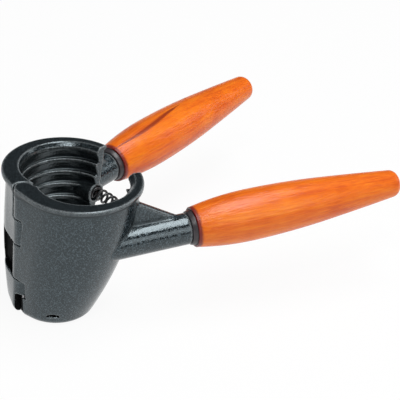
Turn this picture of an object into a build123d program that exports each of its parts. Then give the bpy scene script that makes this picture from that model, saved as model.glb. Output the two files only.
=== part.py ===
"""Funnel nut cracker: two cast half-cup jaws on a hinge pin, two turned wooden grips.

Millimetres. The hinge axis is Z through the origin, the cup stands on the plane Z = 0 and
opens upward. Each jaw is drawn closed, with its mating face on the XZ plane, and is then
turned open. side is -1 for the front jaw, at -Y, and +1 for the back jaw.
"""

import os
from math import acos, cos, pi, radians, sin, sqrt

from build123d import *

os.makedirs("parts", exist_ok=True)

FRONT = -1
BACK = 1

# ---- cup: heights are above the base, offsets are from the hinge axis along X ------------
cup_height = 67.2
lip_radius = 29.4
lip_offset = 26.7
lip_height = 2.2
lip_round = 0.7
wall_radius_rim = 27.45
wall_offset_rim = 27.3
wall_radius_base = 17.9
wall_offset_base = 14.7
radius_curve = 2.3  # 1 makes a straight cone, more keeps the wall upright for longer
offset_curve = 1.4
wall_levels = 6
base_round = 4.2
wall_thickness = 5.0
floor_thickness = 6.0

# ---- hinge -------------------------------------------------------------------------------
open_angle = 30.4  # between the mating faces in the open position
mating_gap = 0.3  # between the mating faces when closed
barrel_radius_rim = 4.4
barrel_radius_base = 6.0
lip_barrel_radius = 4.55
hinge_wall = 2.0  # between the hinge barrel and the bore
knuckle_gap = 0.3  # round a knuckle
knuckle_end_gap = 0.5  # between one knuckle and the next
knuckle_heights = [15.5, 13.5, 19.0, 8.0]  # from the rim down, the first is the front jaw's
knuckle_radii = [4.8, 5.2, 5.8, 8.3]
foot_relief = 6.5  # radius the front jaw keeps clear of, below the last knuckle
side_pocket_depth = 3.2  # flat pocket in the back jaw beside the third knuckle
side_pocket_reach = 18.5  # from the hinge axis along the cup's flat side
pin_radius = 2.0
pin_under_rim = 7.2  # from the rim down to the pin's upper end
pin_chamfer = 0.3
tight_fit = 0.01  # radial play of the pin in the front jaw
running_fit = 0.05  # radial play of the pin in the back jaw
hole_end_play = 0.4  # the blind holes are this much deeper than the pin or stud in them

# ---- stepped ribs inside the cup ---------------------------------------------------------
mouth_depth = 2.0
mouth_flare_outer = 2.3
mouth_flare_hinge = 0.3
rib_pitch = 6.2
rib_land = 1.3
groove_lead = 0.25
groove_depth_outer = 2.2
groove_depth_hinge = 0.3

# ---- grip --------------------------------------------------------------------------------
grip_start = 78.8  # hinge axis to the grip's inner end
grip_offset = 15.0  # mating face plane to the grip's axis, at its inner end
grip_level = 42.1
grip_rise = 3.6  # degrees
grip_toe_in = 1.15  # degrees
grip_length = 108.4
grip_radius_start = 9.5
grip_radius_belly = 12.5
grip_radius_neck = 10.7
grip_radius_end = 6.4
belly_reach = 28.2  # from the inner end to the thickest place
neck_reach = 67.2  # from the inner end to where the taper turns straight
grip_start_round = 0.6
grip_end_round = 4.2

# ---- arm, collar and stud ------------------------------------------------------------------------
arm_radius = 7.6
arm_round = 1.0
arm_root = 34.0
web_thickness = 4.6
web_offset = 13.2
web_start = 44.0
web_under_rim = 4.5  # from the rim down to the web's high end
web_end_gap = 2.4  # from the web's low end to the arm's end
web_sink = 2.6  # of the web's low end under the top of the arm
web_round = 1.4
collar_radius = 8.1
collar_length = 3.6
collar_round = 0.5
stud_radius = 3.0
stud_in_arm = 14.0
stud_in_grip = 42.0
stud_chamfer = 0.5
stud_fit = 0.02

# ---- opening spring between the mating faces ---------------------------------------------
spring_radius = 2.7  # to the middle of the wire
wire_radius = 0.6
spring_turns = 11
spring_end_play = 0.5  # between the wire's end and the floor of its pocket
spring_offset = 49.9
spring_level = 42.9
pocket_offset = 49.6
pocket_depth = 7.5
pocket_play = 0.65
boss_wall = 1.25
boss_length = 9.4

# ---- small arched recess low on the front jaw ----------------------------------------------
recess_width = 7.4
recess_height = 1.8
recess_depth = 1.3
recess_level = 5.3
recess_bearing = -111.4  # degrees around the middle of the wall

half_open = open_angle / 2
half_gap = mating_gap / 2
far = 2 * (lip_offset + lip_radius)  # larger than the cup, for cutting away whole sides
pocket_radius = spring_radius + wire_radius + pocket_play
boss_radius = pocket_radius + boss_wall
pin_length = cup_height - pin_under_rim
web_top_level = cup_height - web_under_rim


def wall_radius(level):
    share = (1 - level / cup_height) ** radius_curve
    return wall_radius_rim + (wall_radius_base - wall_radius_rim) * share


def wall_offset(level):
    share = (1 - level / cup_height) ** offset_curve
    return wall_offset_rim + (wall_offset_base - wall_offset_rim) * share


def barrel_radius(level):
    """Radius of the cup's back edge around the hinge axis."""
    share = 1 - level / cup_height
    return barrel_radius_rim + (barrel_radius_base - barrel_radius_rim) * share


def bore_ends(level):
    """X of the bore at the hinge and at the free side."""
    near = barrel_radius(level) + hinge_wall
    return near, wall_offset(level) + wall_radius(level) - wall_thickness


def hull_sketch(offset, radius, barrel, level):
    """The cup's outline: one circle drawn together with the barrel around the hinge."""
    with BuildSketch(Plane.XY.offset(level)) as outline:
        with Locations((offset, 0)):
            Circle(radius)
        Circle(barrel)
        make_hull()
    return outline.sketch


def round_sketch(near, outer, level):
    """A circle on the X axis, given by the two places where it crosses that axis."""
    with BuildSketch(Plane.XY.offset(level)) as circle:
        with Locations(((near + outer) / 2, 0)):
            Circle((outer - near) / 2)
    return circle.sketch


def make_cup():
    """The closed cup, still solid inside, with its lip."""
    with BuildPart() as cup:
        for step in range(wall_levels):
            level = cup_height * step / (wall_levels - 1)
            add(hull_sketch(wall_offset(level), wall_radius(level), barrel_radius(level), level))
        loft()
        fillet(cup.edges().group_by(Axis.Z)[0], base_round)
        add(hull_sketch(lip_offset, lip_radius, lip_barrel_radius, cup_height - lip_height))
        extrude(amount=lip_height)
        fillet(cup.edges().group_by(Axis.Z)[-1], lip_round)
    return cup.part


def make_bore():
    """The hollow of the cup: upright rib lands, each with a slanted groove under it."""
    with BuildPart() as bore:
        near, outer = bore_ends(cup_height)
        land_top = cup_height - mouth_depth
        land_bottom = land_top - rib_land
        add(round_sketch(near, outer, land_bottom))
        extrude(amount=rib_land)
        add(round_sketch(near, outer, land_top))
        mouth = round_sketch(near - mouth_flare_hinge, outer + mouth_flare_outer, cup_height)
        add(mouth)
        loft(ruled=True)
        add(mouth)
        extrude(amount=lip_height)
        while land_bottom > floor_thickness + rib_land:
            groove_bottom = max(land_bottom - rib_pitch + rib_land, floor_thickness)
            add(round_sketch(near - groove_lead, outer + groove_lead, land_bottom))
            near, outer = bore_ends(groove_bottom)
            wide = round_sketch(near - groove_depth_hinge, outer + groove_depth_outer, groove_bottom)
            add(wide)
            loft(ruled=True)
            land_bottom = max(groove_bottom - rib_land, floor_thickness)
            if land_bottom < groove_bottom:
                add(round_sketch(near, outer, land_bottom))
                extrude(amount=groove_bottom - land_bottom)
    return bore.part


def zone_bounds():
    """Ends and radius of each knuckle, from the rim down, with the side that owns it."""
    zones = []
    upper = cup_height
    for index, (height, radius) in enumerate(zip(knuckle_heights, knuckle_radii)):
        owner = FRONT if index % 2 == 0 else BACK
        zones.append((upper, upper - height, radius, owner))
        upper -= height
    return zones


def other_half(side, level):
    """Everything past the mating face of one jaw, seen from above."""
    with BuildSketch(Plane.XY.offset(level)) as half:
        with Locations((0, side * half_gap)):
            Rectangle(2 * far, far, align=(Align.CENTER, Align.MAX if side > 0 else Align.MIN))
    return half.sketch


def make_hinge_cut(side):
    """What one jaw leaves to the other: the far half of the cup and the other's knuckles."""
    with BuildPart() as cut:
        for upper, lower, radius, owner in zone_bounds():
            own = owner == side
            shift = -knuckle_end_gap / 2 if own else knuckle_end_gap / 2
            top = upper + shift if upper < cup_height else cup_height + lip_height
            bottom = lower - shift
            with BuildSketch(Plane.XY.offset(bottom)):
                add(other_half(side, 0))
                if own:
                    Circle(radius, mode=Mode.SUBTRACT)
                else:
                    Circle(radius + knuckle_gap)
            extrude(amount=top - bottom)
        with BuildSketch(Plane.XY.offset(-lip_height)):
            add(other_half(side, 0))
            if side == FRONT:
                Circle(foot_relief)
        extrude(amount=lip_height + bottom)
    return cut.part


def make_pin_hole(side):
    """Bore for the pin through one jaw's knuckles, blind under the rim."""
    play = tight_fit if side == FRONT else running_fit
    with BuildPart() as hole:
        Cylinder(
            pin_radius + play,
            pin_length + hole_end_play,
            align=(Align.CENTER, Align.CENTER, Align.MIN),
        )
    return hole.part


def grip_plane(side, distance=0.0):
    """Plane across the grip's axis, that far from its inner end. Its Z points outward."""
    rise = radians(grip_rise)
    turn = radians(-side * grip_toe_in)
    along = Vector(cos(rise) * cos(turn), cos(rise) * sin(turn), sin(rise))
    start = Vector(grip_start, side * grip_offset, grip_level)
    return Plane(origin=start + along * distance, x_dir=Vector(0, 0, 1).cross(along), z_dir=along)


def make_arm(side):
    """Round bar from inside the wall to the collar, with the web on top of it."""
    bar_length = (grip_start - arm_root) / cos(radians(grip_rise)) - collar_length
    web_end = grip_start - collar_length - web_end_gap
    web_end_level = grip_level + arm_radius - web_sink
    with BuildPart() as arm:
        with BuildSketch(grip_plane(side, -bar_length - collar_length)):
            Circle(arm_radius)
        extrude(amount=bar_length)
        fillet(arm.edges().sort_by(Axis.X)[-1], arm_round)
        with BuildSketch(Plane.XZ.offset(-side * web_offset)):
            with BuildLine():
                Polyline(
                    (web_start, grip_level),
                    (web_start, web_top_level),
                    (web_end, web_end_level),
                    (web_end, grip_level),
                    close=True,
                )
            make_face()
        web = extrude(amount=web_thickness / 2, both=True)
        fillet(web_edges(arm, side), web_round)
    return arm.part


def web_edges(arm, side):
    """The two long edges along the web's sloping top."""
    return [
        edge
        for edge in arm.edges().filter_by(GeomType.LINE)
        if abs(edge.tangent_at(0.5).Z) > 0.2
        and abs(edge.tangent_at(0.5).X) > 0.5
        and edge.center().Z > grip_level + arm_radius
    ]


def make_spring_pocket(side):
    """Straight blind hole for the spring's end, square to the mating face."""
    with BuildPart() as pocket:
        with BuildSketch(Plane.XZ.offset(side * far)):
            with Locations((pocket_offset, spring_level)):
                Circle(pocket_radius)
        extrude(amount=-side * (far + pocket_depth) if side > 0 else far + pocket_depth)
    return pocket.part


def make_spring_boss(side):
    """Thickening of the wall round the spring's pocket."""
    with BuildPart() as boss:
        with BuildSketch(Plane.XZ.offset(-side * half_gap)):
            with Locations((pocket_offset, spring_level)):
                Circle(boss_radius)
        extrude(amount=-side * (boss_length - half_gap))
    return boss.part


def make_recess():
    """Small arched recess in the outside of the wall, near the base."""
    bearing = radians(recess_bearing)
    outward = Vector(cos(bearing), sin(bearing), 0)
    middle = Vector(wall_offset(recess_level), 0, recess_level)
    face = Plane(
        origin=middle + outward * (wall_radius(recess_level) - recess_depth),
        x_dir=Vector(0, 0, 1).cross(outward),
        z_dir=outward,
    )
    with BuildPart() as recess:
        with BuildSketch(face):
            with BuildLine():
                half = recess_width / 2
                ThreePointArc((-half, 0), (0, recess_height), (half, 0))
                Line((half, 0), (-half, 0))
            make_face()
        extrude(amount=3 * recess_depth)
    return recess.part


def make_side_pocket():
    """Flat cut in the side of the back jaw, level with the third knuckle."""
    upper, lower, radius, owner = zone_bounds()[2]
    middle = (upper + lower) / 2
    slant = acos((barrel_radius(middle) - wall_radius(middle)) / wall_offset(middle))
    outward = Vector(cos(slant), sin(slant), 0)
    face = Plane(
        origin=outward * (barrel_radius(middle) - side_pocket_depth) + Vector(0, 0, lower),
        x_dir=outward,
        z_dir=(0, 0, 1),
    )
    with BuildPart() as pocket:
        with BuildSketch(face):
            Rectangle(far, 2 * side_pocket_reach, align=(Align.MIN, Align.CENTER))
        extrude(amount=upper - lower)
    return pocket.part


def make_jaw(side):
    """One closed casting, with its mating face half the gap away from the XZ plane."""
    with BuildPart() as jaw:
        add(make_cup())
        add(make_arm(side))
        add(make_bore(), mode=Mode.SUBTRACT)
        add(make_spring_boss(side))
        add(make_hinge_cut(side), mode=Mode.SUBTRACT)
        add(make_spring_pocket(side), mode=Mode.SUBTRACT)
        add(make_pin_hole(side), mode=Mode.SUBTRACT)
        if side == FRONT:
            add(make_recess(), mode=Mode.SUBTRACT)
        else:
            add(make_side_pocket(), mode=Mode.SUBTRACT)
        with BuildSketch(grip_plane(side, -collar_length)):
            Circle(stud_radius + stud_fit)
        extrude(amount=-stud_in_arm - hole_end_play, mode=Mode.SUBTRACT)
    return jaw.part


def make_collar(side):
    """Smooth ring on the stud, between the arm and the grip."""
    with BuildPart() as collar:
        with BuildSketch(grip_plane(side, -collar_length)):
            Circle(collar_radius)
        extrude(amount=collar_length)
        fillet(collar.edges().filter_by(GeomType.CIRCLE), collar_round)
        with BuildSketch(grip_plane(side, -collar_length)):
            Circle(stud_radius + stud_fit)
        extrude(amount=collar_length, mode=Mode.SUBTRACT)
    return collar.part


def make_grip(side):
    """Turned wooden grip with a blind bore for the stud."""
    across = grip_plane(side)
    profile_plane = Plane(origin=across.origin, x_dir=across.z_dir, z_dir=across.x_dir)
    with BuildPart() as grip:
        with BuildSketch(profile_plane):
            with BuildLine():
                belly = (belly_reach, grip_radius_belly)
                neck = (neck_reach, grip_radius_neck)
                TangentArc(belly, (0, grip_radius_start), tangent=(-1, 0))
                swell = TangentArc(belly, neck, tangent=(1, 0))
                TangentArc(neck, (grip_length, grip_radius_end), tangent=swell % 1)
                Line((grip_length, grip_radius_end), (grip_length, 0))
                Line((grip_length, 0), (0, 0))
                Line((0, 0), (0, grip_radius_start))
            make_face()
        revolve(axis=Axis(across.origin, across.z_dir))
        ends = grip.edges().filter_by(GeomType.CIRCLE).sort_by(Axis.X)
        fillet(ends[-1], grip_end_round)
        ends = grip.edges().filter_by(GeomType.CIRCLE).sort_by(Axis.X)
        fillet(ends[0], grip_start_round)
        with BuildSketch(across):
            Circle(stud_radius + stud_fit)
        extrude(amount=stud_in_grip + hole_end_play, mode=Mode.SUBTRACT)
    return grip.part


def make_stud(side):
    """Steel stud from the arm through the collar into the grip."""
    stud_length = stud_in_arm + collar_length + stud_in_grip
    with BuildPart() as stud:
        with BuildSketch(grip_plane(side, -collar_length - stud_in_arm)):
            Circle(stud_radius)
        extrude(amount=stud_length)
        chamfer(stud.edges().filter_by(GeomType.CIRCLE), stud_chamfer)
    return stud.part


def spring_point(turn):
    """Middle of the wire after so many turns, and its direction, on the open spring."""
    end_angle = radians(half_open) + (pocket_depth - spring_end_play - wire_radius) / pocket_offset
    share = turn / spring_turns
    sweep = end_angle * (2 * share - 1)
    roll = 2 * pi * turn
    outward = Vector(cos(sweep), sin(sweep), 0)
    along = Vector(-sin(sweep), cos(sweep), 0)
    upward = Vector(0, 0, 1)
    reach = spring_offset + spring_radius * cos(roll)
    point = outward * reach + upward * (spring_level + spring_radius * sin(roll))
    turning = 2 * end_angle / spring_turns
    direction = (
        along * (reach * turning)
        + outward * (-spring_radius * 2 * pi * sin(roll))
        + upward * (spring_radius * 2 * pi * cos(roll))
    )
    return point, direction.normalized()


def joining_point(start, start_way, end, end_way):
    """Where the two arcs of a smooth pair of arcs meet."""
    chord = end - start
    ways = start_way + end_way
    spread = 2 * (1 - start_way.dot(end_way))
    lean = chord.dot(ways)
    reach = (sqrt(lean * lean + spread * chord.dot(chord)) - lean) / spread
    return (start + end + (start_way - end_way) * reach) * 0.5


def make_spring():
    """Coil spring bent round the hinge: half turns, each drawn as two tangent arcs."""
    with BuildPart() as spring:
        with BuildLine() as wire:
            for half_turn in range(2 * spring_turns):
                start, start_way = spring_point(half_turn / 2)
                end, end_way = spring_point((half_turn + 1) / 2)
                middle = joining_point(start, start_way, end, end_way)
                first = TangentArc(start, middle, tangent=start_way)
                TangentArc(middle, end, tangent=first % 1)
        start, start_way = spring_point(0)
        with BuildSketch(Plane(origin=start, z_dir=start_way)):
            Circle(wire_radius)
        sweep(path=wire.line)
    return spring.part


def spring_gap():
    """Least gap between one turn of the spring's wire and the next."""
    steps = 24
    points = [spring_point(step / steps)[0] for step in range(spring_turns * steps + 1)]
    least = far
    for index, point in enumerate(points):
        for other in points[index + steps // 2 : index + 2 * steps]:
            least = min(least, (other - point).length)
    return least - 2 * wire_radius


closed_front = make_jaw(FRONT)
closed_back = make_jaw(BACK)

with BuildPart() as front_jaw:
    add(closed_front, rotation=(0, 0, -half_open))

with BuildPart() as back_jaw:
    add(closed_back, rotation=(0, 0, half_open))

with BuildPart() as hinge_pin:
    Cylinder(pin_radius, pin_length, align=(Align.CENTER, Align.CENTER, Align.MIN))
    chamfer(hinge_pin.edges().filter_by(GeomType.CIRCLE).sort_by(Axis.Z)[-1], pin_chamfer)

with BuildPart() as opening_spring:
    add(make_spring())

with BuildPart() as front_stud:
    add(make_stud(FRONT), rotation=(0, 0, -half_open))

with BuildPart() as front_collar:
    add(make_collar(FRONT), rotation=(0, 0, -half_open))

with BuildPart() as front_grip:
    add(make_grip(FRONT), rotation=(0, 0, -half_open))

with BuildPart() as back_stud:
    add(make_stud(BACK), rotation=(0, 0, half_open))

with BuildPart() as back_collar:
    add(make_collar(BACK), rotation=(0, 0, half_open))

with BuildPart() as back_grip:
    add(make_grip(BACK), rotation=(0, 0, half_open))

pieces = {
    "front_jaw": front_jaw,
    "back_jaw": back_jaw,
    "hinge_pin": hinge_pin,
    "opening_spring": opening_spring,
    "front_stud": front_stud,
    "back_stud": back_stud,
    "front_collar": front_collar,
    "back_collar": back_collar,
    "front_grip": front_grip,
    "back_grip": back_grip,
}
for name, piece in pieces.items():
    piece.part.label = name
    export_step(piece.part, "parts/" + name + ".step")

print("opening spring, least gap between turns:", round(spring_gap(), 2), "mm")
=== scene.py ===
# %% [markdown]
# # A funnel nut cracker
#
# The tool is two cast half-cups on one upright hinge pin. Each half carries a short round
# arm with a turned wooden grip on it, and a coil spring between the jaws holds them open.
# The measured model comes first: every piece below is fitted to it. It stands on the table
# with the hinge's axis on Z and the arms towards +X, open as in the picture. Blender works
# in metres, so a length that reads better in millimetres is multiplied by MM.

# %% Load the measured model
from math import atan2, cos, pi, radians, sin, tan

import bpy
import numpy as np
from mathutils import Matrix, Vector


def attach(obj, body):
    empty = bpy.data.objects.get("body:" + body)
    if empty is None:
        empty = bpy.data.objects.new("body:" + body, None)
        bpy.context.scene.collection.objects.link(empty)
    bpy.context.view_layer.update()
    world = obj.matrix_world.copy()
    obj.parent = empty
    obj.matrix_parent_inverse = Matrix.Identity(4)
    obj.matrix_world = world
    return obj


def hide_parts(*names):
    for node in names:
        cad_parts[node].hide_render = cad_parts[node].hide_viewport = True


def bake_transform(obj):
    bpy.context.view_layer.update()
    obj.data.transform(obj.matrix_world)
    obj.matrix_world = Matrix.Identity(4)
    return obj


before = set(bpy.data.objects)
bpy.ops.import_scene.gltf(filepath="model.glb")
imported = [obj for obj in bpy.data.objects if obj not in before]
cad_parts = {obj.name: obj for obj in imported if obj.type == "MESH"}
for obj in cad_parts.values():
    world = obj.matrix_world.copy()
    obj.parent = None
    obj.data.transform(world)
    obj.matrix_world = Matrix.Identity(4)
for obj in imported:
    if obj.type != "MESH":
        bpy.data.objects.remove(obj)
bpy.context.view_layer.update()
MM = 0.001
SCENE = bpy.context.scene
print("nodes:", sorted(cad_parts))

# %% [markdown]
# ## Camera
#
# The product picture was taken with a long lens from the front left, about 30 degrees
# above the table. A camera aimed by eye would be a little off everywhere, so this one was
# fitted: it stands where the outlines of the two cup halves, the bottom of the cup and
# both grips fall on the same places as in the picture.

# %% Camera
CAMERA_PLACE = Vector((-0.26732, -0.46811, 0.38651))
CAMERA_RIGHT = Vector((0.80593, -0.58882, 0.06136))
CAMERA_UP = Vector((0.26124, 0.44674, 0.85567))
CAMERA_BACK = Vector((-0.53125, -0.67358, 0.51386))
LENS_MM = 123.47
SENSOR_MM = 36.0

camera_data = bpy.data.cameras.new("product_camera")
camera_data.lens = LENS_MM
camera_data.sensor_width = SENSOR_MM
camera_data.sensor_fit = "HORIZONTAL"
camera = bpy.data.objects.new("product_camera", camera_data)
SCENE.collection.objects.link(camera)
camera_turn = Matrix((CAMERA_RIGHT, CAMERA_UP, CAMERA_BACK)).transposed().to_4x4()
camera.matrix_world = Matrix.Translation(CAMERA_PLACE) @ camera_turn
SCENE.camera = camera
print("camera:", LENS_MM, "mm lens,", round(CAMERA_PLACE.length, 3), "m from the hinge's foot")

# %% [markdown]
# ## Steps of a finish
#
# Every finish is a small tree of shader nodes. The same few steps come back in each one: a
# cloudy pattern is made, a number is worked out, colours are mixed by it, and the surface
# is raised by it. Each helper below makes one such step, so a finish reads like a recipe.


# %% Node helpers
def node_material(name):
    """A new material and its empty node tree."""
    material = bpy.data.materials.new(name)
    material.use_nodes = True
    material.node_tree.nodes.clear()
    return material, material.node_tree


def link(tree, source, target):
    tree.links.new(source, target)


def add(tree, kind, **values):
    """A node of that kind, with its properties and unlinked inputs set by name."""
    node = tree.nodes.new(kind)
    for key, value in values.items():
        if hasattr(node, key):
            setattr(node, key, value)
        else:
            node.inputs[key.replace("_", " ")].default_value = value
    return node


def calc(tree, operation, first, second=None, third=None, clamp=False):
    """A math node. Each input is a socket or a number. Returns its output."""
    node = tree.nodes.new("ShaderNodeMath")
    node.operation = operation
    node.use_clamp = clamp
    for index, value in enumerate((first, second, third)):
        if value is None:
            continue
        if isinstance(value, (int, float)):
            node.inputs[index].default_value = value
        else:
            link(tree, value, node.inputs[index])
    return node.outputs[0]


# %% Colour helpers
def blend_colour(tree, share, first, second):
    """Mixes two colours, each a socket or four numbers, by a socket. Returns the colour."""
    node = tree.nodes.new("ShaderNodeMix")
    node.data_type = "RGBA"
    link(tree, share, node.inputs["Factor"])
    for socket, value in ((node.inputs[6], first), (node.inputs[7], second)):
        if isinstance(value, tuple):
            socket.default_value = value
        else:
            link(tree, value, socket)
    return node.outputs[2]


def ramp(tree, share, stops):
    """A colour ramp through (position, colour) stops. Returns its colour."""
    node = tree.nodes.new("ShaderNodeValToRGB")
    elements = node.color_ramp.elements
    elements[0].position, elements[0].color = stops[0][0], (*stops[0][1], 1)
    elements[1].position, elements[1].color = stops[-1][0], (*stops[-1][1], 1)
    for position, colour in stops[1:-1]:
        elements.new(position).color = (*colour, 1)
    link(tree, share, node.inputs["Fac"])
    return node.outputs["Color"]


# %% Surface helpers
def principled(name, **sockets):
    """A material with one Principled shader. Its sockets with one value are set by name."""
    material, tree = node_material(name)
    output = add(tree, "ShaderNodeOutputMaterial")
    shader = add(tree, "ShaderNodeBsdfPrincipled", **sockets)
    link(tree, shader.outputs[0], output.inputs["Surface"])
    place = add(tree, "ShaderNodeTexCoord").outputs["Object"]
    return material, tree, shader, place


def noise(tree, place, scale, detail, rough, distortion=0.0):
    """A cloudy pattern with values round one half. Its forms are about 1 / scale metres."""
    node = add(tree, "ShaderNodeTexNoise", Scale=scale, Detail=detail, Roughness=rough,
               Distortion=distortion)
    link(tree, place, node.inputs["Vector"])
    return node.outputs["Fac"]


def raise_surface(tree, shader, height, distance, strength=1.0):
    """Shades the surface as if the pattern stood that far proud. Returns the normals."""
    bump = add(tree, "ShaderNodeBump", Strength=strength, Distance=distance)
    link(tree, height, bump.inputs["Height"])
    link(tree, bump.outputs["Normal"], shader.inputs["Normal"])
    return bump.outputs["Normal"]


def mix_shaders(tree, share, first, second):
    """Mixes two shaders by a socket. Returns the mixed shader."""
    mix = add(tree, "ShaderNodeMixShader")
    link(tree, share, mix.inputs[0])
    link(tree, first, mix.inputs[1])
    link(tree, second, mix.inputs[2])
    return mix.outputs[0]


# %% [markdown]
# ## Floor and background
#
# A catalogue picture has a white background. Stronger lamps would bleach the tool as well,
# so the white is in the paper: rays from the camera and mirrored rays see it almost white,
# and all other light finds plain pale paper. It keeps a soft shadow and shows as a pale
# sheen low on the castings. The room is dim, so a gloss that mirrors the room stays dark.

# %% Paper floor
SCENE.view_settings.view_transform = "Standard"
WHITE = (1, 1, 1, 1)
PAPER_COLOUR = (0.86, 0.86, 0.86, 1)
PAPER_WHITE_SHARE = 0.93
FLOOR_RADIUS = 6.0


def seen_directly(tree):
    """One for camera rays and for rays mirrored or let through by the tool, else zero."""
    path = tree.nodes.new("ShaderNodeLightPath")
    mirrored = path.outputs["Is Glossy Ray"]
    mirrored = calc(tree, "MAXIMUM", mirrored, path.outputs["Is Transmission Ray"])
    return calc(tree, "MAXIMUM", path.outputs["Is Camera Ray"], mirrored)


paper, tree = node_material("paper_floor")
output = add(tree, "ShaderNodeOutputMaterial")
sheet = add(tree, "ShaderNodeBsdfDiffuse", Color=PAPER_COLOUR)
white = add(tree, "ShaderNodeEmission", Color=WHITE)
share = calc(tree, "MULTIPLY", seen_directly(tree), PAPER_WHITE_SHARE)
link(tree, mix_shaders(tree, share, sheet.outputs[0], white.outputs[0]), output.inputs["Surface"])

bpy.ops.object.select_all(action="DESELECT")
bpy.ops.mesh.primitive_circle_add(
    vertices=96, radius=FLOOR_RADIUS, fill_type="NGON", location=(0, 0, 0))
floor = bpy.context.object
floor.name = "floor"
floor.data.materials.append(paper)
print("floor:", 2 * FLOOR_RADIUS, "m across,", PAPER_WHITE_SHARE, "white to the camera")

# %% White background
ROOM_COLOUR = (0.88, 0.94, 1.0, 1)
ROOM_STRENGTH = 0.10

world = bpy.data.worlds.new("studio")
SCENE.world = world
world.use_nodes = True
tree = world.node_tree
tree.nodes.clear()
output = add(tree, "ShaderNodeOutputWorld")
room = add(tree, "ShaderNodeBackground", Color=ROOM_COLOUR, Strength=ROOM_STRENGTH)
backdrop = add(tree, "ShaderNodeBackground", Color=WHITE, Strength=1.0)
camera_ray = add(tree, "ShaderNodeLightPath").outputs["Is Camera Ray"]
backed = mix_shaders(tree, camera_ray, room.outputs[0], backdrop.outputs[0])
link(tree, backed, output.inputs["Surface"])
print("room light:", ROOM_STRENGTH, "with a white backdrop")

# %% [markdown]
# ## Lamps
#
# The picture shows one long bright band on top of each arm, many small sparks on the
# ribs, and no hard shadow. A broad softbox over the tool gives the band, a small lamp over
# the camera's side gives the sparks, and two weak fills light the outside of the cup from
# the front and the wood from the right.

# %% Lamps
TOOL_MIDDLE = Vector((0.06, 0.0, 0.04))
LAMPS = {
    # name: (direction from the tool, metres away, the two sides in metres, watts)
    "key_softbox": ((0.20, -0.10, 0.97), 1.0, (0.80, 0.40), 8.0),
    "small_lamp": ((-0.30, -0.40, 0.86), 1.0, (0.26, 0.26), 2.0),
    "front_fill": ((0.1, -0.9, 0.45), 1.2, (0.8, 0.6), 3.4),
    "right_fill": ((0.9, -0.35, 0.5), 1.1, (0.4, 0.4), 1.2),
}


def add_lamp(name, way, distance, size, watts):
    """An oblong soft lamp, that far from the tool in the given direction, facing it."""
    lamp_data = bpy.data.lights.new(name, "AREA")
    lamp_data.shape = "RECTANGLE"
    lamp_data.size, lamp_data.size_y = size
    lamp_data.energy = watts
    lamp = bpy.data.objects.new(name, lamp_data)
    SCENE.collection.objects.link(lamp)
    lamp.location = TOOL_MIDDLE + Vector(way).normalized() * distance
    ahead = TOOL_MIDDLE - lamp.location
    lamp.rotation_euler = ahead.to_track_quat("-Z", "Y").to_euler()


for name, lamp_values in LAMPS.items():
    add_lamp(name, *lamp_values)
    print("lamp:", name, lamp_values[-1], "W")

# %% [markdown]
# ## Castings
#
# The jaws are rough castings, and no edge of a casting is sharp. A bevel needs clean edge
# loops, which the measured solid's loose triangles don't have. So each jaw is a copy of
# its solid that is merged, skinned again with a fine even mesh, and smoothed a little:
# that rounds every edge by the same small amount and keeps the shape.


# %% Piece helpers
def only_select(piece):
    """Selects this piece alone, because an operator acts on all that is selected."""
    bpy.ops.object.select_all(action="DESELECT")
    piece.select_set(True)
    bpy.context.view_layer.objects.active = piece


def new_piece(name, mesh, body, node):
    """An object at the origin that rides on a body and stands for a node of the model."""
    piece = bpy.data.objects.new(name, mesh)
    SCENE.collection.objects.link(piece)
    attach(piece, body)
    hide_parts(node)
    return piece


def merge_points(piece, distance):
    """Joins points of the piece that lie closer together than that."""
    only_select(piece)
    bpy.ops.object.mode_set(mode="EDIT")
    bpy.ops.mesh.select_all(action="SELECT")
    bpy.ops.mesh.remove_doubles(threshold=distance)
    bpy.ops.object.mode_set(mode="OBJECT")


# %% Soft cast skins
FRONT, BACK = -1, 1
SKIN_MESH = 0.45 * MM  # a finer one takes a jaw past 200,000 triangles
SOFTENING = 0.5
SOFTENING_ROUNDS = 2
TRIANGLE_MERGE = 0.002 * MM


def soften_casting(node, body):
    """A jaw with cast edges, made from a copy of its solid."""
    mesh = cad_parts[node].data.copy()
    mesh.materials.clear()
    piece = new_piece(node + "_casting", mesh, body, node)
    merge_points(piece, TRIANGLE_MERGE)
    skin = piece.modifiers.new("cast_skin", "REMESH")
    skin.mode = "VOXEL"
    skin.voxel_size = SKIN_MESH
    soft = piece.modifiers.new("soft_edges", "SMOOTH")
    soft.factor = SOFTENING
    soft.iterations = SOFTENING_ROUNDS
    bpy.ops.object.modifier_apply(modifier="cast_skin")
    bpy.ops.object.modifier_apply(modifier="soft_edges")
    bpy.ops.object.shade_smooth()
    print(piece.name + ":", len(piece.data.polygons), "faces")
    return piece


castings = {FRONT: soften_casting("front_jaw", "front"), BACK: soften_casting("back_jaw", "back")}

# %% [markdown]
# ## Ridges, hollows and painted shade
#
# A painted highlight lies on the ridges and painted shade in the hollows. A shader can't
# tell a ridge from a hollow by itself, and paint by hand wouldn't follow a change of
# shape, so numbers are measured and stored on the points of the skin: how far a point
# stands proud of the skin round it (ridge), how far it lies back (hollow), and whether it
# is in the bore, which gets painted shade all over. The shadow under the lip's overhang is
# painted into the hollow value too. The hinge's pocket and slot and the small arched
# recess get painted shade as well: their faces take a second, matt near-black material.

# %% Ridges and hollows
# The ridge value later carries a painted highlight, and the hollow value painted shade.
RELIEF = (
    # name, rounds of smoothing it is measured against, height that counts as 1
    ("ridge", 6, 0.10 * MM),
    ("hollow", 90, -0.9 * MM),
)


def read_points(mesh, field):
    """Three numbers for each point of the mesh: its place or its normal."""
    values = np.empty(len(mesh.vertices) * 3)
    mesh.vertices.foreach_get(field, values)
    return values.reshape(-1, 3)


def store_values(mesh, name, values):
    """Keeps one number for each point of the mesh under that name."""
    if name not in mesh.attributes:
        mesh.attributes.new(name, "FLOAT", "POINT")
    mesh.attributes[name].data.foreach_set("value", values.astype(np.float32))


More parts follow.
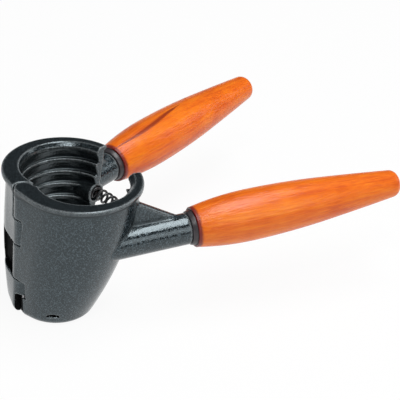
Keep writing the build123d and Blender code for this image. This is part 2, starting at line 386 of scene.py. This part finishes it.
def smoothed(places, ends, shares, rounds):
    """Each point moved halfway to the middle of its neighbours, again and again."""
    for _ in range(rounds):
        total = np.zeros_like(places)
        for axis in range(3):
            total[:, axis] = np.bincount(ends[:, 0], places[ends[:, 1], axis], len(places))
            total[:, axis] += np.bincount(ends[:, 1], places[ends[:, 0], axis], len(places))
        places = 0.5 * places + 0.5 * total * shares
    return places


def store_relief(mesh):
    """Stores how far each point stands proud of, or lies under, the smoothed skin."""
    places = read_points(mesh, "co")
    normals = read_points(mesh, "normal")
    ends = np.empty(len(mesh.edges) * 2, dtype=np.int64)
    mesh.edges.foreach_get("vertices", ends)
    neighbours = np.bincount(ends, minlength=len(places))
    ends = ends.reshape(-1, 2)
    shares = 1.0 / np.maximum(neighbours, 1)[:, None]
    for name, rounds, full in RELIEF:
        proud = ((places - smoothed(places, ends, shares, rounds)) * normals).sum(axis=1)
        value = np.clip(proud / full, 0.0, 1.0)
        store_values(mesh, name, value)
        print(name, "on", round(float((value > 0.5).mean()) * 100, 1), "% of the skin")


for piece in castings.values():
    store_relief(piece.data)

# %% The cup's own measures
# In millimetres, as in the measured model, with each jaw turned back to where it is when
# the tool is closed. The funnel narrows downwards, and its middle moves to the hinge.
OPEN_HALF = radians(15.2)
CUP_HEIGHT = 67.2
RIM_MIDDLE, MIDDLE_SHIFT, SHIFT_POWER = 27.3, 12.6, 1.4
RIM_RADIUS, RADIUS_LOSS, LOSS_POWER = 27.45, 9.55, 2.3
SPRING_LEVEL = 42.9
SPRING_POCKET_REACH = 49.6  # from the hinge's axis to the middle of the spring's pockets


def places_when_closed(mesh, side):
    """For each point: along the seam from the hinge, across it, and up."""
    x, y, up = read_points(mesh, "co").T / MM
    turn = side * OPEN_HALF
    return x * cos(turn) + y * sin(turn), y * cos(turn) - x * sin(turn), up


def cup_at(up):
    """The distance of the cup's middle from the hinge, and its outer radius, at a height."""
    depth = 1 - np.clip(up / CUP_HEIGHT, 0.0, 1.0)
    middle = RIM_MIDDLE - MIDDLE_SHIFT * depth ** SHIFT_POWER
    radius = RIM_RADIUS - RADIUS_LOSS * depth ** LOSS_POWER
    return middle, radius


# %% Painted shade in the bore and on the lip
WALL = 2.2  # further in than this from the outside is bore
BORE_FLOOR = 5.7
SEAM_HALF = 0.5  # the flat faces at the seam aren't bore
HINGE_END = 6.0  # nor is the hinge
# The lip's top takes painted shade, at this share of the bore's.
LIP_TOP, LIP_TOP_SHADE_SHARE = 65.6, 0.75
SPRING_BOSS, BOSS_FACE = 5.5, 1.0  # round the spring, and back from the seam
# The band under the lip's overhang takes a painted shadow.
UNDER_LIP, UNDER_LIP_SKIN, UNDER_LIP_SHADOW = (63.2, 65.7), 0.6, 0.9


def paint_bore_shade(mesh, side):
    """Stores painted shade for the bore, the top of the lip and the faces of the spring's pocket.
    """
    along, across, up = places_when_closed(mesh, side)
    middle, radius = cup_at(up)
    in_cup = (np.hypot(along - middle, across) < radius - WALL) & (up > BORE_FLOOR)
    off_the_seam = (np.abs(across) > SEAM_HALF) & (along > HINGE_END)
    # Painted shade: the bore darkened all over, the lip's top a little less, the spring's pocket
    # faces fully.
    bore_shade = (in_cup & off_the_seam).astype(np.float32)
    bore_shade[up > LIP_TOP] = LIP_TOP_SHADE_SHARE
    by_spring = np.hypot(along - SPRING_POCKET_REACH, up - SPRING_LEVEL) < SPRING_BOSS
    bore_shade[by_spring & (np.abs(across) < BOSS_FACE)] = 1.0
    store_values(mesh, "bore_shade", bore_shade)


def paint_shadow_under_lip(mesh, side):
    """Paints the shadow under the lip's overhang into the stored hollow shade."""
    along, across, up = places_when_closed(mesh, side)
    middle, radius = cup_at(up)
    outside = np.hypot(along - middle, across) > radius - UNDER_LIP_SKIN
    hollow = np.empty(len(mesh.vertices), dtype=np.float32)
    mesh.attributes["hollow"].data.foreach_get("value", hollow)
    # Painted shadow under the lip's overhang.
    hollow[outside & (up > UNDER_LIP[0]) & (up < UNDER_LIP[1])] = UNDER_LIP_SHADOW
    store_values(mesh, "hollow", hollow)


for side, piece in castings.items():
    paint_bore_shade(piece.data, side)
    paint_shadow_under_lip(piece.data, side)
print("bore, lip and spring pockets marked on", len(castings), "jaws")

# %% Places of painted shade
# In millimetres in the closed jaw. The two angles are in radians.
SIDE_POCKET_SLANT = radians(154.9)  # the way the back jaw's flat pocket faces
SIDE_POCKET_FLOOR = 2.1
SIDE_POCKET_DEPTHS = (-0.3, 2.9)
SIDE_POCKET_LEVELS = (19.0, 38.4)
SLOT_TOP, SLOT_REACH, SLOT_HALF = 11.1, 8.0, 0.9
RECESS_TURN = radians(-111.4)  # round the cup's middle, to the middle of the recess
RECESS_HALF, RECESS_SILL, RECESS_SPRING, RECESS_RISE = 3.7, 5.15, 5.3, 1.8
RECESS_MARGIN, RECESS_DEPTH = 0.1, 3.0
CUTBACK_TOP, CUTBACK_REACH = 11.2, 7.6


def painted_shade_on_back(along, across, up):
    """True in the flat pocket beside the hinge and in the slot under the last knuckle."""
    out = along * cos(SIDE_POCKET_SLANT) + across * sin(SIDE_POCKET_SLANT) - SIDE_POCKET_FLOOR
    pocket = (out > SIDE_POCKET_DEPTHS[0]) & (out < SIDE_POCKET_DEPTHS[1])
    pocket &= (up > SIDE_POCKET_LEVELS[0]) & (up < SIDE_POCKET_LEVELS[1])
    slot = (np.hypot(along, across) < SLOT_REACH) & (np.abs(across) < SLOT_HALF)
    return pocket | (slot & (up < SLOT_TOP))


def painted_shade_on_front(along, across, up):
    """True in the arched recess low on the cup and where the jaw is cut back at the foot."""
    middle, radius = cup_at(up)
    round_cup = (np.arctan2(across, along - middle) - RECESS_TURN) * radius
    rise = np.sqrt(np.clip(1 - (round_cup / RECESS_HALF) ** 2, 0.0, 1.0))
    arch = RECESS_SPRING + RECESS_RISE * rise + RECESS_MARGIN
    recess = (np.abs(round_cup) < RECESS_HALF) & (up > RECESS_SILL) & (up < arch)
    recess &= np.hypot(along - middle, across) > radius - RECESS_DEPTH
    return recess | ((up < CUTBACK_TOP) & (np.hypot(along, across) < CUTBACK_REACH))


def give_second_material(piece, points):
    """Gives the faces that have all their corners in that set the second material."""
    mesh = piece.data
    corners = np.empty(len(mesh.loops), dtype=np.int32)
    mesh.loops.foreach_get("vertex_index", corners)
    starts = np.empty(len(mesh.polygons), dtype=np.int32)
    mesh.polygons.foreach_get("loop_start", starts)
    second = np.minimum.reduceat(points[corners].astype(np.int32), starts)
    mesh.polygons.foreach_set("material_index", second)
    print(piece.name, "has", int(second.sum()), "faces with painted shade")


# These faces take painted shade: the pocket and slot by the hinge, the arched recess and the
# cut-back foot.
for side, find_painted_shade in ((FRONT, painted_shade_on_front), (BACK, painted_shade_on_back)):
    places = places_when_closed(castings[side].data, side)
    give_second_material(castings[side], find_painted_shade(*places))

# %% [markdown]
# ## Enamel
#
# The castings wear a near-black hammered enamel: glossy, grainy from the sand mould, with
# fine bluish specks. A picture of enamel would stretch over these curves, so the finish is
# worked out in the round from three cloudy patterns. Their sum picks the tone, the
# coarse grain also raises the surface, and the stored numbers paint shade into the bore,
# the lip's top and the hollows, dull the hollows and paint a highlight on the ridges.

# %% Hammered enamel
GRAIN_SCALE, FINE_SCALE, CLOUD_SCALE = 1400.0, 3800.0, 120.0
GRAIN_HEIGHT = 0.09 * MM
ENAMEL_TONES = [(0.36, (0.001, 0.002, 0.003)), (0.5, (0.004, 0.007, 0.009)),
                (0.64, (0.060, 0.080, 0.092))]
ENAMEL_TINT = (0.80, 0.94, 1.0, 1)
# The near black below is painted shade.
HOLLOW_SHADE_BLACK = (0.002, 0.003, 0.003, 1)
# The grey below is a painted highlight for the ridges.
RIDGE_HIGHLIGHT_GREY = (0.33, 0.36, 0.37, 1)
FINE_SHARE, CLOUD_SHARE, SPECKLE_SHIFT = 0.5, 0.12, 0.31
BORE_SHADE_SHARE, DARKEST = 0.85, 0.97
HIGHLIGHT_SPECK_LEVEL, RIDGE_HIGHLIGHT_MOST = 0.45, 0.65
ENAMEL_ROUGHNESS, CLOUD_ROUGHNESS = 0.11, 0.06
RIDGE_ROUGHNESS, HOLLOW_ROUGHNESS = -0.06, 0.35


def stored(tree, name):
    """The number that is stored on the points under that name."""
    return add(tree, "ShaderNodeAttribute", attribute_name=name).outputs["Fac"]


def enamel_tone(tree, grain, fine, cloud):
    """Speckled near black, with painted shade in the hollows, the bore and the lip's top, and
    painted highlight specks on the ridges.
    """
    ridge, hollow, bore_shade = stored(tree, "ridge"), stored(tree, "hollow"), stored(tree, "bore_shade")
    speckle = calc(tree, "MULTIPLY_ADD", fine, FINE_SHARE, grain)
    speckle = calc(tree, "MULTIPLY_ADD", cloud, CLOUD_SHARE, speckle)
    tone = ramp(tree, calc(tree, "SUBTRACT", speckle, SPECKLE_SHIFT), ENAMEL_TONES)
    # Painted shade: hollows, the bore and the lip's top are mixed towards near black.
    painted_shade = calc(tree, "MAXIMUM", hollow, calc(tree, "MULTIPLY", bore_shade, BORE_SHADE_SHARE))
    tone = blend_colour(tree, calc(tree, "MULTIPLY", painted_shade, DARKEST), tone, HOLLOW_SHADE_BLACK)
    # Painted highlight: pale grey specks on the ridges, fewer in the hollows.
    highlight_specks = calc(tree, "GREATER_THAN", fine, HIGHLIGHT_SPECK_LEVEL)
    ridge_highlight = calc(tree, "MULTIPLY", calc(tree, "POWER", ridge, 2.0), highlight_specks)
    ridge_highlight = calc(tree, "MULTIPLY", ridge_highlight, calc(tree, "SUBTRACT", 1.0, hollow))
    return blend_colour(tree, calc(tree, "MULTIPLY", ridge_highlight, RIDGE_HIGHLIGHT_MOST), tone, RIDGE_HIGHLIGHT_GREY)


def enamel_roughness(tree, cloud):
    """A high gloss that is a little higher on the ridges and is lost in the hollows."""
    rough = calc(tree, "MULTIPLY_ADD", cloud, CLOUD_ROUGHNESS, ENAMEL_ROUGHNESS)
    rough = calc(tree, "MULTIPLY_ADD", stored(tree, "ridge"), RIDGE_ROUGHNESS, rough)
    hollow = stored(tree, "hollow")
    return calc(tree, "MULTIPLY_ADD", hollow, HOLLOW_ROUGHNESS, rough, clamp=True)


def make_enamel(name):
    """Near-black glossy enamel over a grainy cast skin, with a painted highlight on the ridges
    and painted shade in the dull hollows.
    """
    material, tree, shader, place = principled(
        name, Specular_IOR_Level=0.82, Specular_Tint=ENAMEL_TINT)
    grain = noise(tree, place, GRAIN_SCALE, detail=1.0, rough=0.5)
    fine = noise(tree, place, FINE_SCALE, detail=2.0, rough=0.6)
    cloud = noise(tree, place, CLOUD_SCALE, detail=3.0, rough=0.5)
    link(tree, enamel_tone(tree, grain, fine, cloud), shader.inputs["Base Color"])
    link(tree, enamel_roughness(tree, cloud), shader.inputs["Roughness"])
    raise_surface(tree, shader, grain, GRAIN_HEIGHT)
    return material


# %% Enamel of painted shade
# A near-black matt enamel that stands for the shade deep in these places: painted shade.
PAINTED_SHADE_TONES = [(0.4, (0.002, 0.002, 0.002)), (0.7, (0.010, 0.010, 0.011))]
PAINTED_SHADE_ROUGHNESS, MOTTLE_ROUGHNESS = 0.7, 0.2


def make_painted_shade_enamel(name):
    """Painted shade for the enamel deep in the pocket, the slot and the recess: near black and
    matt.
    """
    material, tree, shader, place = principled(name, Specular_IOR_Level=0.08)
    shade_mottle = noise(tree, place, GRAIN_SCALE, detail=3.0, rough=0.6)
    link(tree, ramp(tree, shade_mottle, PAINTED_SHADE_TONES), shader.inputs["Base Color"])
    roughness = calc(tree, "MULTIPLY_ADD", shade_mottle, MOTTLE_ROUGHNESS, PAINTED_SHADE_ROUGHNESS)
    link(tree, roughness, shader.inputs["Roughness"])
    return material


enamel = make_enamel("hammered_enamel")
shade_enamel = make_painted_shade_enamel("painted_shade_enamel")
for piece in castings.values():
    piece.data.materials.append(enamel)
    piece.data.materials.append(shade_enamel)
    print(piece.name, "wears", [material.name for material in piece.data.materials])

# %% [markdown]
# ## Turned pieces
#
# The grips were turned on a lathe, and the smooth collars in front of them too. The lathe
# of Blender is the spin tool: half an outline is drawn beside the axis and spun once
# round it. The grip's outline is three arcs that run into each other, with a small round
# at the inner end and a large one outside. Its thin inner edge covers the collar's end.

# %% Where a grip lies
GRIP_START = Vector((78.8, 15.0, 42.1)) * MM
GRIP_RISE = radians(3.6)
GRIP_TOE_IN = radians(1.15)


def grip_matrix(side):
    """Lays a piece drawn along +X onto its arm in the open tool."""
    spin = Matrix.Rotation(side * OPEN_HALF, 3, "Z")
    toe = -side * GRIP_TOE_IN
    along = spin @ Vector((cos(GRIP_RISE) * cos(toe), cos(GRIP_RISE) * sin(toe), sin(GRIP_RISE)))
    start = spin @ Vector((GRIP_START.x, side * GRIP_START.y, GRIP_START.z))
    across = Vector((0, 0, 1)).cross(along).normalized()
    rotation = Matrix((along, across, along.cross(across))).transposed().to_4x4()
    return Matrix.Translation(start) @ rotation


for side in (FRONT, BACK):
    print("a grip starts at", [round(c, 4) for c in grip_matrix(side).translation])


# %% Arcs and rounds
def leaving_arc(start, heading, end, steps):
    """Points on the arc that leaves start at that heading for end, and its last heading."""
    dx, dy = end[0] - start[0], end[1] - start[1]
    bend = (atan2(dy, dx) - heading + pi) % (2 * pi) - pi
    chord = (dx * dx + dy * dy) ** 0.5
    points = []
    for step in range(steps + 1):
        part = 2 * bend * step / steps
        reach = chord * sin(part / 2) / sin(bend)
        aim = heading + part / 2
        points.append((start[0] + reach * cos(aim), start[1] + reach * sin(aim)))
    return points, heading + 2 * bend


def round_corner(middle, radius, first, last, steps):
    """Points round a corner, angles in radians."""
    angles = [first + (last - first) * step / steps for step in range(steps + 1)]
    return [(middle[0] + radius * cos(a), middle[1] + radius * sin(a)) for a in angles]


# %% Outlines of grip and collar
# Each point is (distance along the axis, radius) in millimetres. The grip starts at 0.
GRIP_LENGTH = 108.4
SLEEVE = 1.3  # the wood covers the collar's end by this much
INNER_RADIUS, END_RADIUS = 9.6, 6.4
BELLY, NECK = (28.2, 12.5), (67.2, 10.7)
INNER_ROUND, END_ROUND = 0.5, 4.2
SLEEVE_INSIDE = [(0.0, 3.2), (0.0, 7.0), (0.0, 8.75), (-SLEEVE, 8.8)]
ARC_STEPS = 40
ROUND_MARGIN = 0.2
COLLAR_LENGTH = 3.6
COLLAR_ROUND, COLLAR_LEAN = 0.45, 0.3
COLLAR_SHOULDER = 7.7
COLLAR_FACE = [(-COLLAR_LENGTH, 3.1), (-COLLAR_LENGTH, 6.4)]
COLLAR_SWELL = [(-2.3, 8.42), (-1.6, 8.6), (-0.9, 8.62), (-0.2, 8.55), (0.0, 8.3), (0.0, 3.1)]


def grip_outline():
    """Half outline of the grip, from its inner end outward."""
    inner, _ = leaving_arc(BELLY, pi, (-SLEEVE, INNER_RADIUS), ARC_STEPS)
    swell, heading = leaving_arc(BELLY, 0.0, NECK, ARC_STEPS)
    taper, heading = leaving_arc(NECK, heading, (GRIP_LENGTH, END_RADIUS), ARC_STEPS)
    inner = [p for p in reversed(inner) if p[0] > INNER_ROUND - SLEEVE]
    lean = atan2(inner[1][1] - inner[0][1], inner[1][0] - inner[0][0])
    start_middle = (INNER_ROUND - SLEEVE, inner[0][1] - INNER_ROUND)
    start_round = round_corner(start_middle, INNER_ROUND, pi, pi / 2 + lean, steps=6)
    # The end round's middle lies where the round touches the taper and the end face.
    edge = END_RADIUS + END_ROUND * tan(-heading) - END_ROUND / cos(heading)
    end_middle = (GRIP_LENGTH - END_ROUND, edge)
    end_round = round_corner(end_middle, END_ROUND, pi / 2 + heading, 0.0, steps=16)
    taper = [p for p in taper if p[0] < end_round[0][0] - ROUND_MARGIN]
    end_face = [(GRIP_LENGTH, 1.2), (GRIP_LENGTH, 0.0)]
    return SLEEVE_INSIDE + start_round + inner + swell[1:] + taper[1:] + end_round + end_face


def collar_outline():
    """Half outline of the collar: a smooth swelling ring that goes into the grip's end."""
    corner_middle = (COLLAR_ROUND - COLLAR_LENGTH, COLLAR_SHOULDER)
    corner_round = round_corner(corner_middle, COLLAR_ROUND, pi, pi / 2 + COLLAR_LEAN, steps=8)
    return COLLAR_FACE + corner_round + COLLAR_SWELL


print("grip outline:", len(grip_outline()), "points, collar:", len(collar_outline()), "points")

# %% Spinning
SPIN_STEPS = 112
SHARP_ANGLE = radians(40)
SEAM_MERGE = 0.001 * MM


def close_and_face_out(piece):
    """Fills the open ends of the piece and turns its faces outwards."""
    only_select(piece)
    bpy.ops.object.mode_set(mode="EDIT")
    bpy.ops.mesh.select_all(action="DESELECT")
    bpy.ops.mesh.select_non_manifold(
        use_wire=False, use_multi_face=False, use_non_contiguous=False, use_verts=False)
    bpy.ops.mesh.fill_holes(sides=0)
    bpy.ops.mesh.select_all(action="SELECT")
    bpy.ops.mesh.normals_make_consistent(inside=False)
    bpy.ops.object.mode_set(mode="OBJECT")


def spin_piece(outline, side, node, closed):
    """Spins a half outline once round the axis and lays the piece on its arm."""
    points = [(x * MM, 0.0, radius * MM) for x, radius in outline]
    lines = [(index, index + 1) for index in range(len(points) - 1)]
    if closed:
        lines.append((len(points) - 1, 0))
    mesh = bpy.data.meshes.new(node + "_turned")
    mesh.from_pydata(points, lines, [])
    body = "front" if side == FRONT else "back"
    piece = new_piece(node + "_turned", mesh, body, node)
    only_select(piece)
    bpy.ops.object.mode_set(mode="EDIT")
    bpy.ops.mesh.select_all(action="SELECT")
    bpy.ops.mesh.spin(steps=SPIN_STEPS, angle=2 * pi, center=(0, 0, 0), axis=(1, 0, 0))
    bpy.ops.object.mode_set(mode="OBJECT")
    merge_points(piece, SEAM_MERGE)
    close_and_face_out(piece)
    mesh.transform(grip_matrix(side))
    bpy.ops.object.shade_smooth_by_angle(angle=SHARP_ANGLE)
    print(piece.name + ":", len(mesh.polygons), "faces")
    return piece


grips = {side: spin_piece(grip_outline(), side, node, False)
         for side, node in ((FRONT, "front_grip"), (BACK, "back_grip"))}
collars = {side: spin_piece(collar_outline(), side, node, True)
           for side, node in ((FRONT, "front_collar"), (BACK, "back_collar"))}

# %% [markdown]
# ## Wood
#
# The grips are a pale close-grained wood, stained orange and lacquered. Wood is not the
# same in all directions: its figure runs along the grip. So the patterns are laid on each
# grip's own axis first and then stretched along it. The thin inner edge took more stain
# and is wine red. The back grip has a long dark flame on its inner half.

# %% Dark flame
FLAME_MIDDLE, FLAME_WANDER = 1.67, 0.17  # radians round the grip
FLAME_WAVE, FLAME_START = 68.0, 0.55
FLAME_SWELL, FLAME_HALF, FLAME_MORE = 62.0, 0.035, 0.11
THINNEST_FLAME = 0.02
FLAME_FRAY, FLAME_EDGE = 0.25, 1.6
FLAME_END = 52.0 * MM


def flame_streak(tree, apart, figure):
    """One on a wavy streak along the grip, with frayed edges, and zero away from it."""
    along = apart.outputs["X"]
    round_the_grip = calc(tree, "ARCTAN2", apart.outputs["Z"], apart.outputs["Y"])
    wave = calc(tree, "SINE", calc(tree, "MULTIPLY_ADD", along, FLAME_WAVE, FLAME_START))
    drift = calc(tree, "MULTIPLY_ADD", wave, FLAME_WANDER, FLAME_MIDDLE)
    fray = calc(tree, "MULTIPLY_ADD", figure, FLAME_FRAY, -FLAME_FRAY / 2)
    off = calc(tree, "ADD", calc(tree, "SUBTRACT", round_the_grip, drift), fray)
    swell = calc(tree, "SINE", calc(tree, "MULTIPLY", along, FLAME_SWELL))
    width = calc(tree, "MULTIPLY_ADD", swell, FLAME_MORE, FLAME_HALF)
    width = calc(tree, "MAXIMUM", width, THINNEST_FLAME)
    beside = calc(tree, "DIVIDE", calc(tree, "ABSOLUTE", off), width)
    streak = calc(tree, "SUBTRACT", 1.0, beside, clamp=True)
    streak = calc(tree, "MULTIPLY", streak, FLAME_EDGE, clamp=True)
    return calc(tree, "MULTIPLY", streak, calc(tree, "GREATER_THAN", FLAME_END, along))


# %% Lay and end stain
STRETCH_ALONG = 0.06
STAIN_FROM, STAIN_FULL, STAIN_FRAY = 0.6 * MM, -1.0 * MM, -1.2 * MM


def lay_on_grip(tree, place, side, seed):
    """Places on the grip's own axes, and the same ones stretched along it for patterns.

    The seed moves the patterns, so that the two grips aren't cut from the same wood.
    """
    matrix = grip_matrix(side)
    lay = add(tree, "ShaderNodeMapping", vector_type="TEXTURE",
              Location=matrix.to_translation(), Rotation=matrix.to_euler("XYZ"))
    link(tree, place, lay.inputs["Vector"])
    stretch = add(tree, "ShaderNodeMapping", Location=(seed, seed * 1.7, seed * 2.3),
                  Scale=(STRETCH_ALONG, 1.0, 1.0))
    link(tree, lay.outputs["Vector"], stretch.inputs["Vector"])
    return lay.outputs["Vector"], stretch.outputs["Vector"]


def end_stain(tree, along, figure):
    """One at the grip's inner edge, fading out over its first millimetre and a half."""
    stain = add(tree, "ShaderNodeMapRange", interpolation_type="SMOOTHSTEP")
    stain.inputs["From Min"].default_value = STAIN_FROM
    stain.inputs["From Max"].default_value = STAIN_FULL
    link(tree, calc(tree, "MULTIPLY_ADD", figure, STAIN_FRAY, along), stain.inputs["Value"])
    return stain.outputs["Result"]


# %% Lacquered wood
FIGURE_SCALE, FIBRE_SCALE, WOOD_CLOUD_SCALE = 230.0, 1250.0, 70.0
FIBRE_HEIGHT = 0.26 * MM
WOOD_TONES = [(0.25, (0.64, 0.085, 0.002)), (0.5, (0.80, 0.150, 0.003)),
              (0.75, (0.88, 0.215, 0.006))]
FLAME_BROWN = (0.24, 0.016, 0.001, 1)
WINE_RED = (0.17, 0.010, 0.010, 1)
FIBRE_SHARE, WOOD_CLOUD_SHARE, TONE_SHIFT = 0.5, 0.6, 0.55
FLAME_STRENGTH, STAIN_STRENGTH = 0.85, 0.95


def make_wood(name, side, seed, flame):
    """Stained wood with its grain along the grip, under a clear lacquer."""
    material, tree, shader, place = principled(
        name, Roughness=0.5, Specular_IOR_Level=0.16, Coat_Weight=0.5, Coat_Roughness=0.17)
    lay, stretched = lay_on_grip(tree, place, side, seed)
    figure = noise(tree, stretched, FIGURE_SCALE, detail=5.0, rough=0.6, distortion=0.5)
    fibre = noise(tree, stretched, FIBRE_SCALE, detail=2.0, rough=0.6)
    cloud = noise(tree, lay, WOOD_CLOUD_SCALE, detail=3.0, rough=0.55)
    share = calc(tree, "MULTIPLY_ADD", fibre, FIBRE_SHARE, figure)
    share = calc(tree, "MULTIPLY_ADD", cloud, WOOD_CLOUD_SHARE, share)
    tone = ramp(tree, calc(tree, "SUBTRACT", share, TONE_SHIFT), WOOD_TONES)
    apart = add(tree, "ShaderNodeSeparateXYZ")
    link(tree, lay, apart.inputs["Vector"])
    if flame:
        streak = flame_streak(tree, apart, figure)
        streak = calc(tree, "MULTIPLY", streak, FLAME_STRENGTH)
        tone = blend_colour(tree, streak, tone, FLAME_BROWN)
    stain = end_stain(tree, apart.outputs["X"], figure)
    stain = calc(tree, "MULTIPLY", stain, STAIN_STRENGTH)
    link(tree, blend_colour(tree, stain, tone, WINE_RED), shader.inputs["Base Color"])
    normals = raise_surface(tree, shader, fibre, FIBRE_HEIGHT)
    link(tree, normals, shader.inputs["Coat Normal"])
    return material


grips[FRONT].data.materials.append(make_wood("front_grip_wood", FRONT, 0.3, False))
grips[BACK].data.materials.append(make_wood("back_grip_wood", BACK, 1.9, True))
print("wood on", [piece.name for piece in grips.values()])

# %% [markdown]
# ## Smooth metal
#
# The collars, the pin, the studs and the spring's wire are turned or drawn, so they have
# no cast grain. One recipe does for all of them: two near tones, a gloss and faint marks.
# The collars are dark with a soft gloss, the pin and studs bare steel, and the wire oily
# black. Pin and studs keep the meshes of the measured model, which are round enough.

# %% Collars, pin, studs and spring wire
MARKS_ROUGHNESS = 0.16


def make_smooth_metal(name, dark, light, rough, metallic, marks_scale, marks_height):
    """A smooth turned or drawn metal surface with faint marks."""
    material, tree, shader, place = principled(name, Metallic=metallic)
    marks = noise(tree, place, marks_scale, detail=4.0, rough=0.6)
    link(tree, ramp(tree, marks, [(0.35, dark), (0.7, light)]), shader.inputs["Base Color"])
    roughness = calc(tree, "MULTIPLY_ADD", marks, MARKS_ROUGHNESS, rough - MARKS_ROUGHNESS / 2)
    link(tree, roughness, shader.inputs["Roughness"])
    raise_surface(tree, shader, marks, marks_height, strength=0.5)
    return material


collar_gloss = make_smooth_metal(
    "collar_gloss", dark=(0.030, 0.026, 0.029), light=(0.06, 0.052, 0.057),
    rough=0.36, metallic=0.0, marks_scale=500.0, marks_height=0.02 * MM)
bare_steel = make_smooth_metal(
    "bare_steel", dark=(0.28, 0.28, 0.29), light=(0.45, 0.45, 0.46),
    rough=0.34, metallic=1.0, marks_scale=1800.0, marks_height=0.01 * MM)
oiled_wire = make_smooth_metal(
    "oiled_wire", dark=(0.012, 0.012, 0.013), light=(0.04, 0.041, 0.043),
    rough=0.26, metallic=0.0, marks_scale=1400.0, marks_height=0.02 * MM)
for piece in collars.values():
    piece.data.materials.append(collar_gloss)
for node in ("hinge_pin", "front_stud", "back_stud"):
    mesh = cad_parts[node].data
    mesh.materials.clear()
    mesh.materials.append(bare_steel)
    print(node, "is", bare_steel.name)

# %% [markdown]
# ## Spring
#
# The spring is a coil of round wire, squeezed between two blind pockets that face each
# other round the hinge. A curve with a thickness could make it too, but the screw modifier
# gives even rings of faces: it winds a circle of wire into a straight coil. Every point
# is then carried onto the arc round the hinge.

# %% Straight coil
SPRING_TURNS = 11
SPRING_RADIUS = 2.7 * MM
WIRE_RADIUS = 0.6 * MM
COIL_STEPS = 48
SPRING_REACH = 49.9 * MM
COIL_END = 7.0  # how far the coil goes into each jaw, in millimetres from the seam
SPRING_SWEEP = OPEN_HALF + (COIL_END - WIRE_RADIUS / MM) / SPRING_POCKET_REACH

bpy.ops.object.select_all(action="DESELECT")
bpy.ops.mesh.primitive_circle_add(
    vertices=14, radius=WIRE_RADIUS, location=(SPRING_RADIUS, 0, 0), rotation=(pi / 2, 0, 0))
spring = bpy.context.object
spring.name = "opening_spring_wire"
only_select(spring)
bpy.ops.object.transform_apply(location=True, rotation=True, scale=True)
coil = spring.modifiers.new("coil", "SCREW")
coil.angle = 2 * pi
coil.iterations = SPRING_TURNS
coil.screw_offset = 2 * SPRING_SWEEP * SPRING_REACH / SPRING_TURNS
coil.steps = COIL_STEPS
coil.render_steps = COIL_STEPS
bpy.ops.object.modifier_apply(modifier="coil")
merge_points(spring, SEAM_MERGE)
print("coil:", SPRING_TURNS, "turns,", len(spring.data.polygons), "faces")

# %% Bent between the jaws
for vertex in spring.data.vertices:
    outward, upward, length = vertex.co
    sweep = length / SPRING_REACH - SPRING_SWEEP
    reach = SPRING_REACH + outward
    vertex.co = (reach * cos(sweep), reach * sin(sweep), SPRING_LEVEL * MM + upward)
close_and_face_out(spring)
bpy.ops.object.shade_smooth()
spring.data.materials.append(oiled_wire)
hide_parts("opening_spring")
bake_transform(spring)
